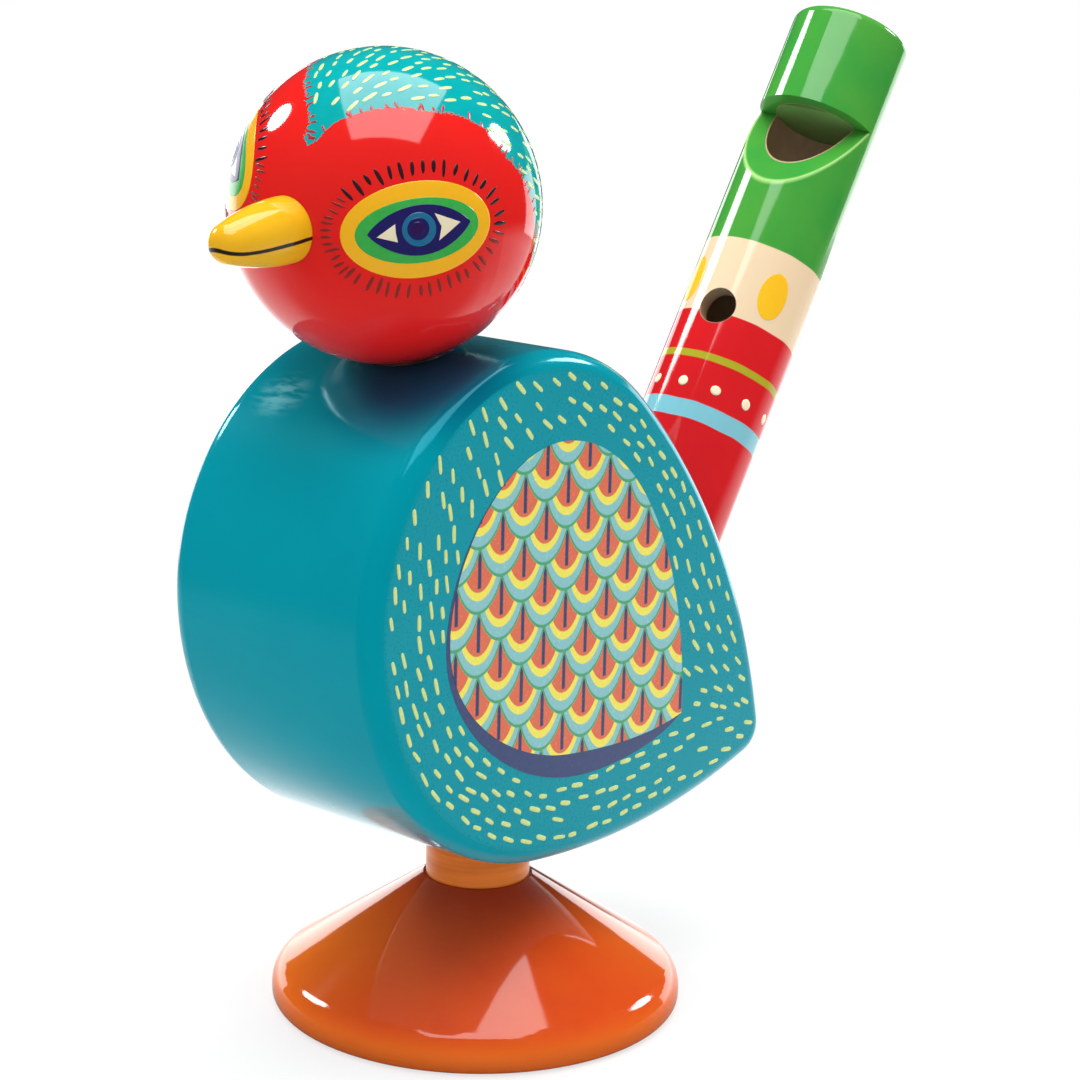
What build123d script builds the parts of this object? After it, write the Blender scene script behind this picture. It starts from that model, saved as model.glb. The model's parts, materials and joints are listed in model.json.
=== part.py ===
from build123d import *
import math
import os

# A wooden bird call: a bird on a turned foot, with a one-hole whistle for a tail.
# Origin at the middle of the foot's underside, Z up, the beak points to -Y, the bird's left is +X.

# Foot, a turned flare
FOOT_R = 30.0
FOOT_H = 19.2
FOOT_RIM_H = 4.6
FOOT_RIM_ROUND = 4.2
FOOT_EDGE_ROUND = 1.6
FOOT_LAND = 0.4

# Leg, a plain dowel glued into the foot and the body
LEG_R = 7.6
LEG_SHOWN = 7.6
LEG_IN_FOOT = 11.0
LEG_IN_BODY = 15.0
LEG_CHAMFER = 0.8

# Body, a thick board sawn to the outline round three discs: breast, belly and tail tip
BODY_T = 38.0
BODY_EDGE_ROUND = 2.8
ROUND_R = 33.7
BELLY_FORWARD = 4.4
BREAST_FORWARD = 5.0
BREAST_RISE = 5.4
TAIL_R = 5.0
TAIL_BACK = 43.4
TAIL_DROP = 23.9
# How much wider each bowed flank is than the tightest arc round its two discs
CHEST_SLACK = 2.2
UNDERSIDE_SLACK = 71.0
BACK_SLACK = 55.0

# Head, a ball in a shallow dish on the breast, and the dowel that it turns on
HEAD_R = 21.0
SEAT_DEPTH = 1.3
NECK_LEAN = 12.8
NECK_R = 4.0
NECK_IN_HEAD = 14.0
NECK_IN_BODY = 18.0
NECK_CHAMFER = 0.6

# Beak, a turned peg glued into the head
BEAK_R = 4.4
BEAK_NOSE_R = 2.7
BEAK_OUT = 13.1
BEAK_IN = 7.0
BEAK_TURN = 5.5
BEAK_DROP = 3.6

# Whistle, a bored tube pushed into a socket in the back
TUBE_R = 9.6
TUBE_L = 111.4
BORE_R = 6.8
CLOSED_END = 24.0
MOUTH_ROUND = 1.4
WHISTLE_TILT = 32.2
WHISTLE_TURN = 11.5
SOCKET_RISE = 21.4
SOCKET_DEPTH = 17.5
WINDOW_FROM_TOP = 16.6
NOTCH_DEPTH = 8.6
RAMP_L = 14.8
WINDWAY_H = 1.3
FINGER_HOLE_R = 2.9
FINGER_HOLE_FROM_TOP = 53.0

# Clearances
GLUE_GAP = 0.05
RUNNING_GAP = 0.06
SEAT_GAP = 0.3
HOLE_END_GAP = 0.5

UPRIGHT = (Align.CENTER, Align.CENTER, Align.MIN)


def rod(radius, length, chamfer_size=0.0):
    """Round rod that stands on the origin, both ends chamfered alike."""
    solid = Cylinder(radius, length, align=UPRIGHT)
    if chamfer_size:
        solid = chamfer(solid.edges().filter_by(GeomType.CIRCLE), chamfer_size)
    return solid


def along(start, direction, facing=None):
    """Place whose Z runs from a point in a direction, with X as near as can be to where it faces."""
    return Location(Plane(origin=start, x_dir=facing, z_dir=direction))


def turning_arc(centre, radius, start, end):
    """Counter-clockwise arc about a centre."""
    first = math.atan2(start.Y - centre.Y, start.X - centre.X)
    sweep = (math.atan2(end.Y - centre.Y, end.X - centre.X) - first) % (2 * math.pi)
    middle = first + sweep / 2
    crown = centre + Vector(math.cos(middle), math.sin(middle)) * radius
    return ThreePointArc(start, crown, end)


def bowed_flank(first, second, slack):
    """Arc that holds two discs inside it and touches both: centre, radius, first and second touch."""
    (p, p_radius), (q, q_radius) = first, second
    apart = (q - p).length
    radius = (apart + p_radius + q_radius) / 2 + slack
    forward = ((radius - p_radius) ** 2 - (radius - q_radius) ** 2 + apart ** 2) / (2 * apart)
    inward = math.sqrt((radius - p_radius) ** 2 - forward ** 2)
    unit = (q - p).normalized()
    centre = p + unit * forward + Vector(-unit.Y, unit.X) * inward
    return (centre, radius,
            p + (p - centre).normalized() * p_radius,
            q + (q - centre).normalized() * q_radius)


# Outline of the body, drawn with Y to the right and Z up
belly_y = -BELLY_FORWARD
belly_z = FOOT_H + LEG_SHOWN + ROUND_R
belly = (Vector(belly_y, belly_z), ROUND_R)
breast = (Vector(belly_y - BREAST_FORWARD, belly_z + BREAST_RISE), ROUND_R)
tail = (Vector(belly_y + TAIL_BACK, belly_z - TAIL_DROP), TAIL_R)
discs = [breast, belly, tail]
flanks = [bowed_flank(breast, belly, CHEST_SLACK),
          bowed_flank(belly, tail, UNDERSIDE_SLACK),
          bowed_flank(tail, breast, BACK_SLACK)]
outline = []
for i, (disc, flank) in enumerate(zip(discs, flanks)):
    centre, radius, leave, meet = flank
    arrive = flanks[i - 1][3]
    outline.append(turning_arc(disc[0], disc[1], arrive, leave))
    outline.append(turning_arc(centre, radius, leave, meet))

# The neck axis stands square on the breast and leans forward
lean = math.radians(NECK_LEAN)
neck_axis = Vector(0, -math.sin(lean), math.cos(lean))
breast_centre = Vector(0, breast[0].X, breast[0].Y)
head_centre = breast_centre + neck_axis * (ROUND_R - SEAT_DEPTH + SEAT_GAP + HEAD_R)
neck_foot = breast_centre + neck_axis * (ROUND_R - NECK_IN_BODY)
neck_length = (head_centre - neck_foot).length - HEAD_R + NECK_IN_HEAD

# The whistle axis crosses the back a set height above the tail tip
tilt = math.radians(WHISTLE_TILT)
turn = math.radians(WHISTLE_TURN)
whistle_axis = Vector(0, math.sin(tilt), math.cos(tilt))
window_facing = Vector(math.sin(turn), -math.cos(tilt) * math.cos(turn), math.sin(tilt) * math.cos(turn))
back_centre, back_radius = flanks[2][:2]
crossing_z = tail[0].Y + SOCKET_RISE
crossing_y = back_centre.X + math.sqrt(back_radius ** 2 - (crossing_z - back_centre.Y) ** 2)
socket_floor = Vector(0, crossing_y, crossing_z) - whistle_axis * SOCKET_DEPTH
socket_place = along(socket_floor, whistle_axis, window_facing)
whistle_place = along(socket_floor + whistle_axis * SEAT_GAP, whistle_axis, window_facing)

# The beak points forward from the middle of the head
beak_yaw = math.radians(BEAK_TURN)
beak_pitch = math.radians(-BEAK_DROP)
beak_axis = Vector(math.sin(beak_yaw) * math.cos(beak_pitch),
                   -math.cos(beak_yaw) * math.cos(beak_pitch),
                   math.sin(beak_pitch))
beak_root = HEAD_R - BEAK_IN
beak_shoulder = math.sqrt(HEAD_R ** 2 - BEAK_R ** 2)
beak_tip = HEAD_R + BEAK_OUT
head_to_beak = along(head_centre, beak_axis)

leg_foot = FOOT_H - LEG_IN_FOOT
leg_top = FOOT_H + LEG_SHOWN + LEG_IN_BODY


def make_foot():
    """Flare with a flat underside, a rounded rim and a straight flank up to the leg."""
    profile = Polyline((0, 0), (FOOT_R, 0), (FOOT_R, FOOT_RIM_H), (LEG_R + FOOT_LAND, FOOT_H), (0, FOOT_H),
                       close=True)
    flare = revolve(Plane.XZ * make_face(profile), Axis.Z)
    rim = flare.edges().filter_by(GeomType.CIRCLE).sort_by(Axis.Z)[1]
    flare = fillet(rim, FOOT_RIM_ROUND)
    edge = flare.edges().filter_by(GeomType.CIRCLE).sort_by(Axis.Z)[0]
    flare = fillet(edge, FOOT_EDGE_ROUND)
    return flare - Pos(0, 0, leg_foot - HOLE_END_GAP) * rod(LEG_R + GLUE_GAP, FOOT_H)


def make_leg():
    """Dowel from its hole in the foot to its hole in the body."""
    return Pos(0, 0, leg_foot) * rod(LEG_R, leg_top - leg_foot, LEG_CHAMFER)


def make_body():
    """Sawn board with rounded edges, a dish for the head, and holes for leg, neck and whistle."""
    board = extrude(Plane.YZ * make_face(outline), amount=BODY_T / 2, both=True)
    board = fillet(board.faces().filter_by(Axis.X).edges(), BODY_EDGE_ROUND)
    board -= Pos(*head_centre) * Sphere(HEAD_R + SEAT_GAP)
    board -= rod(LEG_R + GLUE_GAP, leg_top + HOLE_END_GAP)
    board -= along(neck_foot - neck_axis * HOLE_END_GAP, neck_axis) * rod(NECK_R + RUNNING_GAP, neck_length)
    board -= socket_place * rod(TUBE_R + RUNNING_GAP, TUBE_L)
    return board


def make_head():
    """Ball with a hole for the neck dowel below and one for the beak in front."""
    ball = Pos(*head_centre) * Sphere(HEAD_R)
    ball -= along(neck_foot, neck_axis) * rod(NECK_R + GLUE_GAP, neck_length + HOLE_END_GAP)
    ball -= head_to_beak * Pos(0, 0, beak_root - HOLE_END_GAP) * rod(BEAK_R + GLUE_GAP, HEAD_R)
    return ball


def make_neck():
    """Dowel that is glued into the head and turns in the body."""
    return along(neck_foot, neck_axis) * rod(NECK_R, neck_length, NECK_CHAMFER)


def make_beak():
    """Peg with an ogive front and a round nose, turned in one piece."""
    nose = Vector(0, beak_tip - BEAK_NOSE_R)
    rise = nose.Y - beak_shoulder
    bow = (BEAK_R ** 2 + rise ** 2 - BEAK_NOSE_R ** 2) / (2 * (BEAK_R - BEAK_NOSE_R))
    bow_centre = Vector(BEAK_R - bow, beak_shoulder)
    touch = nose + (nose - bow_centre).normalized() * BEAK_NOSE_R
    shoulder = Vector(BEAK_R, beak_shoulder)
    tip = Vector(0, beak_tip)
    profile = [Polyline(tip, (0, beak_root), (BEAK_R, beak_root), shoulder),
               turning_arc(bow_centre, bow, shoulder, touch),
               turning_arc(nose, BEAK_NOSE_R, touch, tip)]
    return head_to_beak * revolve(Plane.XZ * make_face(profile), Axis.Z)


def make_whistle_tube():
    """Tube closed at its foot, with a mouth notch, its ramp and one finger hole; X faces the notch."""
    tube = rod(TUBE_R, TUBE_L)
    tube = fillet(tube.edges().filter_by(GeomType.CIRCLE).sort_by(Axis.Z)[-1], MOUTH_ROUND)
    tube -= Pos(0, 0, CLOSED_END) * rod(BORE_R, TUBE_L)
    step_z = TUBE_L - WINDOW_FROM_TOP
    ramp_foot = step_z - RAMP_L
    notch = make_face(Polyline((TUBE_R - NOTCH_DEPTH, step_z), (TUBE_R + NOTCH_DEPTH, step_z),
                               (TUBE_R + NOTCH_DEPTH, ramp_foot - RAMP_L), close=True))
    tube -= extrude(Plane.XZ * notch, amount=TUBE_R, both=True)
    tube -= along((0, 0, TUBE_L - FINGER_HOLE_FROM_TOP), (1, 0, 0)) * rod(FINGER_HOLE_R, TUBE_R * 2)
    return whistle_place * tube


def make_fipple_block():
    """Plug in the mouth end, with a flat that leaves the windway open under the tube's wall."""
    plug = Pos(0, 0, TUBE_L - WINDOW_FROM_TOP) * rod(BORE_R - GLUE_GAP, WINDOW_FROM_TOP)
    windway = Box(BORE_R, BORE_R * 2, TUBE_L, align=(Align.MIN, Align.CENTER, Align.MIN))
    return whistle_place * (plug - Pos(BORE_R - WINDWAY_H, 0, 0) * windway)


pieces = {
    "foot": make_foot(),
    "leg_dowel": make_leg(),
    "body": make_body(),
    "neck_dowel": make_neck(),
    "head": make_head(),
    "beak": make_beak(),
    "whistle_tube": make_whistle_tube(),
    "fipple_block": make_fipple_block(),
}

os.makedirs("parts", exist_ok=True)
for name, solid in pieces.items():
    solid.label = name
    export_step(solid, f"parts/{name}.step")

print("head centre", tuple(head_centre), "neck axis", tuple(neck_axis))
print("whistle foot", tuple(whistle_place.position), "whistle axis", tuple(whistle_axis))
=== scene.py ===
import json
import math

import bpy
from mathutils import Matrix, Vector


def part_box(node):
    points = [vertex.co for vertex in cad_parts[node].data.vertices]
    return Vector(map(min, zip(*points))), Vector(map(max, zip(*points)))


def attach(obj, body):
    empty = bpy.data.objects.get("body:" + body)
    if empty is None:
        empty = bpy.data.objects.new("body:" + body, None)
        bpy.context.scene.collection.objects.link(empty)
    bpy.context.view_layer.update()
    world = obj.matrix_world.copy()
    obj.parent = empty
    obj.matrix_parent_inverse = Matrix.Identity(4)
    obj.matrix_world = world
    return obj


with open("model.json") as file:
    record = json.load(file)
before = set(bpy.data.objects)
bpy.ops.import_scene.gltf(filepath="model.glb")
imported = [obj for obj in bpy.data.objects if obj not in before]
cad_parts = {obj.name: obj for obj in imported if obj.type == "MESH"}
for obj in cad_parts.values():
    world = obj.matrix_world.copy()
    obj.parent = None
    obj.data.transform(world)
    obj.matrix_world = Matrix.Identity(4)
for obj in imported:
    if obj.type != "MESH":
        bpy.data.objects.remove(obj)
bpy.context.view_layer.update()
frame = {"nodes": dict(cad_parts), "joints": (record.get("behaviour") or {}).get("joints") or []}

# Foot: a turned wooden flare that the toy stands on, flat underneath, with a hole in its top for the leg.
# It is sanded on the lathe and sprayed with glossy orange lacquer. Painted shade makes it redder on the
# front of the slope and dark red round the leg, where the body's shadow falls; it is browner under the rim,
# and clouded a little by the grain.
mm = 0.001
foot_orange = (0.83, 0.175, 0.010)
foot_deep_orange = (0.74, 0.132, 0.009)
foot_rim_brown = (0.58, 0.105, 0.010)
# painted shade: redder on the front of the slope and dark red round the leg, where the body's shadow falls
foot_front_painted_shade = (0.60, 0.044, 0.009)
foot_neck_painted_shade = (0.38, 0.013, 0.004)
foot_front = (0.819, -0.573, 0)
foot_rim_top = 2.4 * mm
foot_slope_from = 3.8 * mm
foot_shade_from = 15 * mm


class Brush:
    """A socket in a node tree: sums on it add Math nodes, and add() makes any other node."""

    def __init__(self, tree, socket=None):
        self.tree = tree
        self.socket = socket

    def add(self, kind, settings=None, links=None, take=0):
        node = self.tree.nodes.new(kind)
        for key, value in (settings or {}).items():
            if key == "points":
                curve = node.mapping.curves[0]
                curve.points[0].location = value[0]
                curve.points[1].location = value[-1]
                for where in value[1:-1]:
                    curve.points.new(*where)
                for point in curve.points:
                    point.handle_type = "AUTO_CLAMPED"
                node.mapping.update()
            else:
                setattr(node, key, value)
        for key, value in (links or {}).items():
            if isinstance(value, Brush):
                self.tree.links.new(value.socket, node.inputs[key])
            else:
                node.inputs[key].default_value = value
        return Brush(self.tree, node.outputs[take] if node.outputs else None)

    def maths(self, operation, *others):
        return self.add("ShaderNodeMath", {"operation": operation}, dict(enumerate((self, *others))))

    def __add__(self, other):
        return self.maths("ADD", other)

    def __sub__(self, other):
        return self.maths("SUBTRACT", other)

    def __mul__(self, other):
        return self.maths("MULTIPLY", other)

    def __truediv__(self, other):
        return self.maths("DIVIDE", other)

    def __rsub__(self, other):
        return self * -1 + other

    def __abs__(self):
        return self.maths("ABSOLUTE")

    __radd__ = __add__
    __rmul__ = __mul__

    def vector(self, operation, *others, take=0):
        return self.add("ShaderNodeVectorMath", {"operation": operation},
                        dict(enumerate((self, *others))), take)

    def along(self, direction):
        return self.vector("DOT_PRODUCT", tuple(direction), take="Value")

    def past(self, edge, soft):
        """0 below the edge, 1 above it, with a change as wide as soft."""
        span = {"Value": self - edge, "From Min": -soft / 2, "From Max": soft / 2}
        return self.add("ShaderNodeMapRange", {"interpolation_type": "SMOOTHSTEP"}, span)

    def noise(self, size, detail=3.0, stretch=(1, 1, 1)):
        """Clouds from 0 to 1, about size across; a stretch under 1 draws them out along that axis."""
        spread = self.vector("MULTIPLY", tuple(stretch))
        return self.add("ShaderNodeTexNoise", None, {"Vector": spread, "Scale": 1 / size, "Detail": detail})

    def cover(self, under, colour):
        """This value is the mask: 0 leaves the colour under, 1 covers it."""
        layers = {0: self, 6: under, 7: colour}
        for key in (6, 7):
            if not isinstance(layers[key], Brush):
                layers[key] = (*layers[key], 1)
        return self.add("ShaderNodeMix", {"data_type": "RGBA"}, layers, 2)


def start_paint(name):
    """A new paint, and its Object coordinates in metres of the toy's own frame."""
    paint = bpy.data.materials.new(name)
    paint.use_nodes = True
    paint.node_tree.nodes.clear()
    return paint, Brush(paint.node_tree).add("ShaderNodeTexCoord", take="Object")


def lay_paint(paint, place, colour, roughness, relief, depth, tint=(1, 1, 1)):
    """Ends a paint with its colour, its roughness, a relief from 0 to 1 that is depth high, and the tint of
    what it mirrors when seen square on."""
    bump = place.add("ShaderNodeBump", None, {"Height": relief, "Distance": depth, "Strength": 1.0})
    look = {"Base Color": colour, "Roughness": roughness, "Normal": bump, "IOR": 1.5,
            "Specular Tint": (*tint, 1)}
    shader = place.add("ShaderNodeBsdfPrincipled", None, look)
    place.add("ShaderNodeOutputMaterial", None, {"Surface": shader})
    return paint


def dress(node, paint):
    """Puts a paint on a CAD node in place of its plain one."""
    mesh = frame["nodes"][node].data
    mesh.materials.clear()
    mesh.materials.append(paint)


foot_paint, place = start_paint("foot_lacquer")
grain = place.noise(6 * mm, 4, (1, 1, 0.15))
foot_up = place.along((0, 0, 1))
# painted shade: the body's shadow round the leg, and on the front of the slope
painted_shade = foot_up.past(foot_shade_from, 13 * mm) * (0.6 + 0.4 * grain)
in_front = place.along(foot_front).past(9 * mm, 28 * mm) * foot_up.past(foot_slope_from, 4.4 * mm)
in_front = in_front * (0.55 + 0.45 * grain)
orange = grain.cover(foot_deep_orange, foot_orange)
orange = foot_up.past(foot_rim_top, 3.2 * mm).cover(foot_rim_brown, orange)
orange = in_front.cover(orange, foot_front_painted_shade)
orange = painted_shade.cover(orange, foot_neck_painted_shade)
foot_gloss = 0.045 + 0.05 * place.noise(9 * mm)
dress("foot", lay_paint(foot_paint, place, orange, foot_gloss, place.noise(11 * mm, 2), 0.05 * mm))

# Leg: a plain dowel glued into the foot and into the belly, so that only a short length of it shows.
# It has one thin satin coat, and the fine rings that sanding on the lathe left in it still show.
leg_brown = (0.95, 0.235, 0.024)
leg_deep_brown = (0.66, 0.125, 0.011)
leg_glint = (0.75, 0.55, 0.40)
leg_paint, place = start_paint("leg_lacquer")
sanding = place.noise(2.5 * mm, 5, (0.12, 0.12, 2.4))
dress("leg_dowel", lay_paint(leg_paint, place, sanding.past(0.5, 0.5).cover(leg_deep_brown, leg_brown),
                             0.24 + 0.16 * place.noise(4 * mm), sanding, 0.03 * mm, leg_glint))

# Body: a thick board sawn to a teardrop with its edges rounded over, drilled for the leg, the neck and the
# whistle. It is sprayed with teal gloss, with a dark painted shade by the head and a streaky painted sheen
# on the breast, and its two flat sides have a printed film in a duller teal.
body_teal = (0.0, 0.29, 0.36)
body_deep_teal = (0.0, 0.25, 0.325)
body_glint = (0.12, 0.80, 1.0)
# painted shade: the head's shadow on the breast, dark navy in front of its seat
painted_shade_navy = (0.0, 0.060, 0.125)
painted_shade_middle = (9 * mm, -23 * mm, 96.5 * mm)
painted_shade_r = 11 * mm
# painted sheen: pale streaks where a reflection lies on the upper breast
painted_sheen_pale = (0.13, 0.52, 0.60)
painted_sheen_middle = (-10.5 * mm, -30 * mm, 92.6 * mm)
painted_sheen_r = 3 * mm
side_teal = (0.0, 0.275, 0.34)
side_deep_teal = (0.0, 0.245, 0.305)
side_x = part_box("body")[1].x
body_paint, place = start_paint("body_lacquer")
on_side = abs(place.along((1, 0, 0))).past(side_x - 0.06 * mm, 0.08 * mm)
clouds = place.noise(16 * mm, 3)
speckle = place.noise(0.5 * mm, 2)
gloss_teal = clouds.cover(body_deep_teal, body_teal)
# painted shade: the head's shadow round its seat
painted_shade = 1 - place.vector("DISTANCE", painted_shade_middle, take="Value").past(painted_shade_r, 12 * mm)
gloss_teal = painted_shade.cover(gloss_teal, painted_shade_navy)
# painted sheen: a streaky pale reflection on the upper breast
painted_sheen = 1 - place.vector("DISTANCE", painted_sheen_middle, take="Value").past(painted_sheen_r, 5 * mm)
painted_sheen = painted_sheen * place.noise(1.1 * mm, 4, (0.3, 1, 1)).past(0.5, 0.25)
gloss_teal = painted_sheen.cover(gloss_teal, painted_sheen_pale)
print_teal = (0.55 * speckle + 0.45 * clouds).cover(side_deep_teal, side_teal)
body_gloss = 0.09 + 0.05 * place.noise(10 * mm) + on_side * (0.12 + 0.1 * speckle)
dress("body", lay_paint(body_paint, place, on_side.cover(gloss_teal, print_teal), body_gloss,
                        place.noise(14 * mm, 2), 0.06 * mm, body_glint))

# Wing: one printed film on each flat side, in a rounded wing shape with one corner towards the tail, and
# under it a navy film that shows as a crescent. The print is rows of overlapping feathers.
wing_aqua = (0.22, 0.50, 0.52)
wing_coral = (0.67, 0.135, 0.065)
wing_yellow = (0.80, 0.72, 0.09)
wing_green = (0.06, 0.34, 0.15)
wing_navy = (0.020, 0.045, 0.13)
crescent_navy = (0.045, 0.065, 0.19)
# knots of the two outlines as place, handle before and handle after, in mm towards the tail and up
wing_top = ((-6.0, 87.1), (12.5, 86.6), (-17.5, 87.3))
wing_knots = [wing_top,
              ((-28.1, 62.8), (-28.2, 75.0), (-28.0, 52.0)),
              ((-3.0, 42.1), (-15.0, 43.6), (5.0, 41.1)),
              ((22.9, 42.5), (15.0, 40.5), (23.4, 64.0))]
crescent_knots = [wing_top,
                  ((-28.8, 62.5), (-28.6, 75.0), (-29.0, 51.0)),
                  ((1.0, 38.3), (-15.0, 39.0), (9.0, 38.0)),
                  ((22.9, 42.5), (17.5, 39.2), (23.4, 64.0))]
film_thick = 0.03 * mm
feather_wide = 9.0 * mm
feather_rise = 4.4 * mm
feather_reach = 2 * feather_rise
feather_slim = 1.68
quill_wide = 0.34 * mm
# where the quill ends and where each colour starts, as shares of the feather's reach from its root
quill_end = 0.60
feather_bands = [(0.66, wing_yellow), (0.79, wing_aqua), (0.95, wing_green)]


def plain_mesh(source):
    """The evaluated source as a plain mesh; the source itself is removed."""
    bpy.context.view_layer.update()
    mesh = bpy.data.meshes.new_from_object(source.evaluated_get(bpy.context.evaluated_depsgraph_get()))
    bpy.data.objects.remove(source)
    return mesh


def put_in_scene(name, data):
    piece = bpy.data.objects.new(name, data)
    bpy.context.scene.collection.objects.link(piece)
    return piece


def flat_outline(knots, thick):
    """A flat plate in x and y with that outline, as thick above z = 0 as below."""
    curve = bpy.data.curves.new("outline", "CURVE")
    curve.dimensions = "2D"
    curve.fill_mode = "BOTH"
    curve.extrude = thick
    curve.resolution_u = 24
    spline = curve.splines.new("BEZIER")
    spline.bezier_points.add(len(knots) - 1)
    spline.use_cyclic_u = True
    for point, (at, before, after) in zip(spline.bezier_points, knots):
        point.handle_left_type = point.handle_right_type = "FREE"
        point.co = (at[0] * mm, at[1] * mm, 0)
        point.handle_left = (before[0] * mm, before[1] * mm, 0)
        point.handle_right = (after[0] * mm, after[1] * mm, 0)
    return plain_mesh(put_in_scene("outline", curve))


def side_films(name, knots, level, paint):
    """A film on each flat side of the body, its outer face level above the wood."""
    for tag, side in (("left", 1), ("right", -1)):
        mesh = flat_outline(knots, level)
        mesh.transform(Matrix(((0, 0, side, side * side_x), (1, 0, 0, 0), (0, 1, 0, 0), (0, 0, 0, 1))))
        if side < 0:
            mesh.flip_normals()
        mesh.materials.append(paint)
        film = put_in_scene(f"{name}_{tag}", mesh)
        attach(film, "perch")


def feather(place, row):
    """How far a point is from the root of its feather in that row, and from the feather's quill."""
    across = place.along((0, 1, 0)) / feather_wide + row.maths("FLOORED_MODULO", 2.0) * 0.5
    from_quill = (across - across.maths("ROUND")) * feather_wide
    under_root = row * feather_rise - place.along((0, 0, 1))
    slim = from_quill * feather_slim
    return (slim * slim + under_root * under_root).maths("SQRT"), abs(from_quill)


crescent_paint, place = start_paint("crescent_print")
speckle = place.noise(0.6 * mm, 2)
lay_paint(crescent_paint, place, speckle.cover(wing_navy, crescent_navy), 0.2 + 0.1 * speckle,
          place.noise(5 * mm), 0.02 * mm)
side_films("wing_crescent", crescent_knots, film_thick, crescent_paint)

wing_paint, place = start_paint("wing_print")
row = (place.along((0, 0, 1)) / feather_rise).maths("CEIL")
lower, lower_quill = feather(place, row)
upper, upper_quill = feather(place, row + 1)
on_upper = 1 - upper.past(feather_reach, 0.05 * mm)
from_root = lower + on_upper * (upper - lower)
from_quill = lower_quill + on_upper * (upper_quill - lower_quill)
edge = 0.18 * mm
on_quill = (1 - from_quill.past(quill_wide, edge)) * (1 - from_root.past(quill_end * feather_reach, edge))
print_colour = on_quill.cover(wing_coral, wing_navy)
for share, band in feather_bands:
    print_colour = from_root.past(share * feather_reach, edge).cover(print_colour, band)
speckle = place.noise(0.6 * mm, 2)
lay_paint(wing_paint, place, print_colour, 0.2 + 0.12 * speckle, place.noise(5 * mm), 0.02 * mm)
side_films("wing_film", wing_knots, 2 * film_thick, wing_paint)

# Dashes on the flat sides: short brush marks in pale yellow green, in rows that run round the wing.
# They are printed with the side and lie as down does: steep on the breast and back, level under the wing.
dash_green = (0.51, 0.64, 0.18)
dash_pale_green = (0.59, 0.70, 0.31)
dash_long = 2.4 * mm
dash_wide = 0.68 * mm
dash_high = 0.05 * mm
dash_step = 3.6 * mm
dash_rows = 9
dash_row_gap = 2.0 * mm
side_margin = 1.1 * mm
wing_margin = 1.0 * mm
wing_middle = Vector((-4 * mm, 62 * mm))
# degrees that a row runs round the wing's middle, and how much further round the next row starts
dash_row_sweep = 352
dash_row_stagger = 97
# radians to each side over which the slant of the board's edge is taken
slant_step = 0.03
# the dashes' lie in degrees above level, for directions in degrees round the wing's middle from the tail up
dash_lie = [(-180, 104), (-170, 112), (-150, 128), (-130, 145), (-110, 152), (-90, 168), (-70, 184),
            (-50, 186), (-36, 178), (-24, 142), (-10, 122), (10, 120), (30, 125), (50, 138), (70, 145),
            (90, 143), (110, 138), (121, 120), (132, 105), (150, 94), (165, 97), (180, 104)]


def enamel(name, colour, second, roughness=0.12):
    """Enamel laid with a small brush: two close shades in streaks, and a slightly uneven skin."""
    paint, place = start_paint(name)
    streaks = place.noise(0.9 * mm, 3)
    return lay_paint(paint, place, streaks.cover(colour, second), roughness + 0.12 * streaks,
                     place.noise(1.6 * mm), 0.02 * mm)


def brush_mark(long, wide, high, blunt, bend=0.0):
    """One mark of a brush along x, its rim just under the surface. A blunt under 1 squares its ends, and
    bend is how strongly the surface curves, as 1 over its radius."""
    sides = 12
    rings = []
    for size, level in ((1.0, -0.8 * high), (1.0, 0.35 * high), (0.72, high)):
        ring = []
        for k in range(sides):
            c, s = math.cos(2 * math.pi * k / sides), math.sin(2 * math.pi * k / sides)
            x = math.copysign(abs(c) ** blunt, c) * (long - wide * (1 - size)) / 2
            y = math.copysign(abs(s) ** blunt, s) * wide * size / 2
            ring.append((x, y, level - bend * x * x / 2))
        rings.append(ring)
    faces = [tuple(range(2 * sides, 3 * sides)), tuple(range(sides))[::-1]]
    for low in (0, sides):
        for k in range(sides):
            after = (k + 1) % sides
            faces.append((low + k, low + after, low + sides + after, low + sides + k))
    mesh = bpy.data.meshes.new("mark")
    mesh.from_pydata([point for ring in rings for point in ring], [], faces)
    mesh.shade_smooth()
    return put_in_scene("mark", mesh)


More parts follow.
